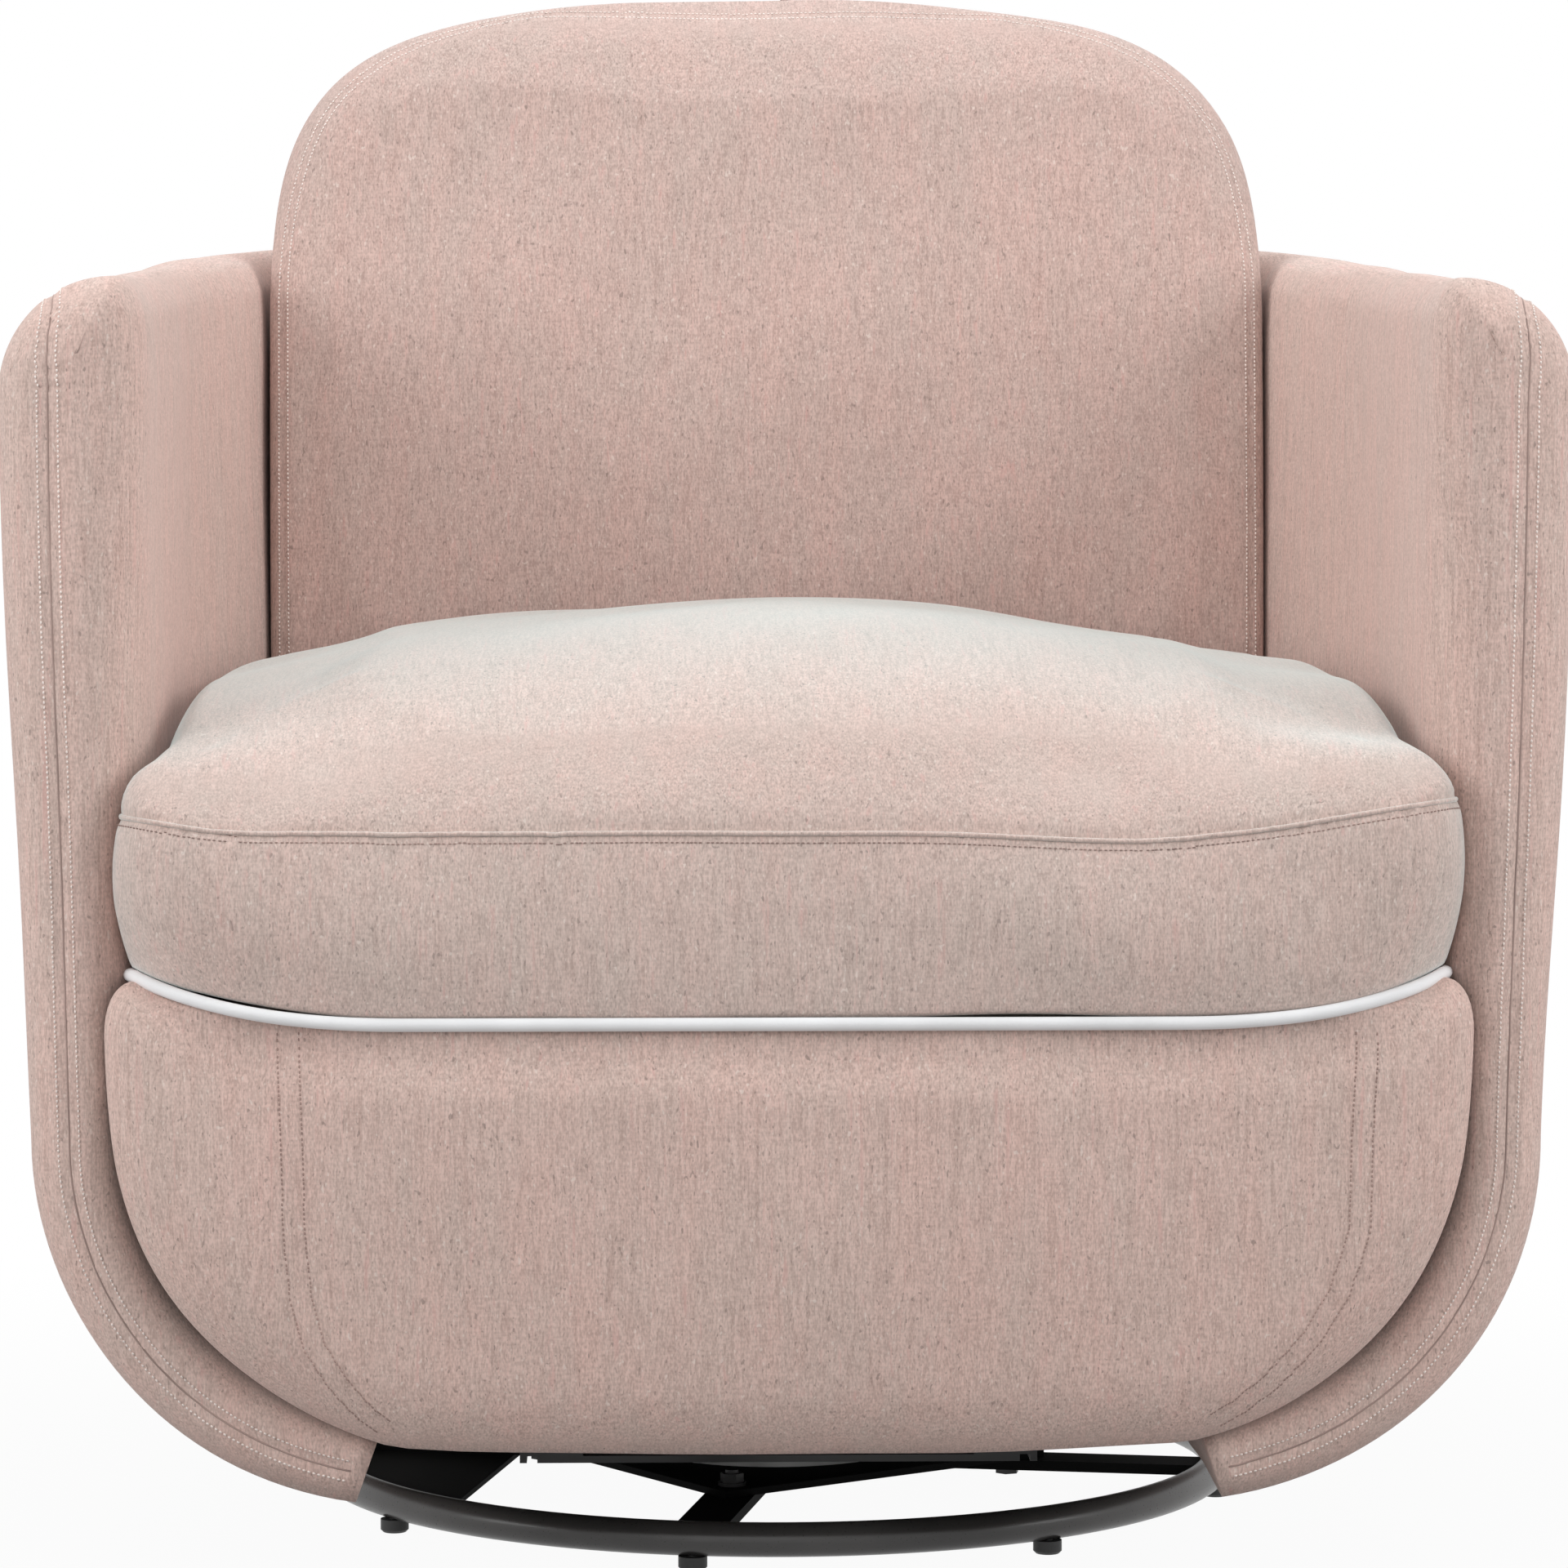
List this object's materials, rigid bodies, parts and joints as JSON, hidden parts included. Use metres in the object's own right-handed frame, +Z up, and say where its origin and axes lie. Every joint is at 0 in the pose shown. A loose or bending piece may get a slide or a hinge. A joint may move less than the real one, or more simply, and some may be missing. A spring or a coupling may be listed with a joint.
{
  "type": "swivel glider chair",
  "caption": "Upholstered barrel armchair that swivels on a ring base and glides level on four hanging links.",
  "frame": {"origin": "on the floor, on the swivel axis, midway between the sides", "axes": "+Z up, +Y towards the back of the chair, +X towards the sitter's left, the right of the picture"},
  "size_m": [0.828, 0.85, 0.895],
  "materials": {
    "black_steel": "satin powder coat",
    "black_fastener": "black oxide",
    "glide_plastic": "matte",
    "zinc_steel": "zinc plated",
    "dark_steel": "satin paint",
    "nylon": "matte",
    "hardwood": "planed",
    "plywood": "raw",
    "spring_wire": "bare spring steel",
    "felt": "felt and foam pad",
    "lining_cloth": "non-woven lining",
    "linen_fabric": "heathered linen weave",
    "seat_fabric": "heathered linen weave",
    "white_cord": "piping cord"
  },
  "bodies": {
    "base": {"base_ring": "black_steel", "cross_bars": "black_steel", "segment_plate": "black_steel", "base_plate": "black_steel", "plate_bolts": "black_fastener", "plate_nuts": "black_fastener", "floor_glides": "glide_plastic", "lower_race": "zinc_steel", "race_balls": "zinc_steel", "king_pin": "zinc_steel"},
    "carriage": {"swivel_plate": "dark_steel", "upper_race": "zinc_steel", "king_nut": "zinc_steel", "side_plate_left": "dark_steel", "side_plate_right": "dark_steel", "cross_tubes": "dark_steel", "tube_bolts": "zinc_steel", "upper_pins": "zinc_steel"},
    "front_links": {"front_hangers": "dark_steel", "front_bushes": "nylon"},
    "rear_links": {"rear_hangers": "dark_steel", "rear_bushes": "nylon"},
    "chair": {"glide_rail_left": "dark_steel", "glide_rail_right": "dark_steel", "front_lower_pins": "zinc_steel", "rear_lower_pins": "zinc_steel", "front_cross_rail": "hardwood", "rear_cross_rail": "hardwood", "rail_screws": "zinc_steel", "side_rail_left": "hardwood", "side_rail_right": "hardwood", "front_board": "plywood", "back_rail": "hardwood", "corner_blocks": "hardwood", "shell_blocks": "hardwood", "seat_springs": "spring_wire", "spring_clips": "zinc_steel", "seat_deck": "felt", "dust_cover": "lining_cloth", "back_board": "plywood", "shell": "linen_fabric", "front_panel": "linen_fabric", "seat_cushion": "seat_fabric", "piping": "white_cord", "back_cushion": "linen_fabric", "outside_back": "linen_fabric"}
  },
  "joints": [
    {"name": "swivel", "type": "hinge", "parent": "base", "child": "carriage", "pos_m": [0, 0, 0.03], "axis": [0, 0, 1], "continuous": true},
    {"name": "glide", "type": "hinge", "parent": "carriage", "child": "front_links", "pos_m": [0, -0.11, 0.21], "axis": [1, 0, 0], "range_deg": [-22, 22]},
    {"name": "rear_link_swing", "type": "hinge", "parent": "carriage", "child": "rear_links", "pos_m": [0, 0.11, 0.21], "axis": [1, 0, 0], "range_deg": [-22, 22]},
    {"name": "chair_level", "type": "hinge", "parent": "front_links", "child": "chair", "pos_m": [0, -0.11, 0.105], "axis": [1, 0, 0], "range_deg": [-22, 22]}
  ],
  "couplings": [
    {"joint": "rear_link_swing", "follows": "glide", "ratio": 1},
    {"joint": "chair_level", "follows": "glide", "ratio": -1}
  ]
}
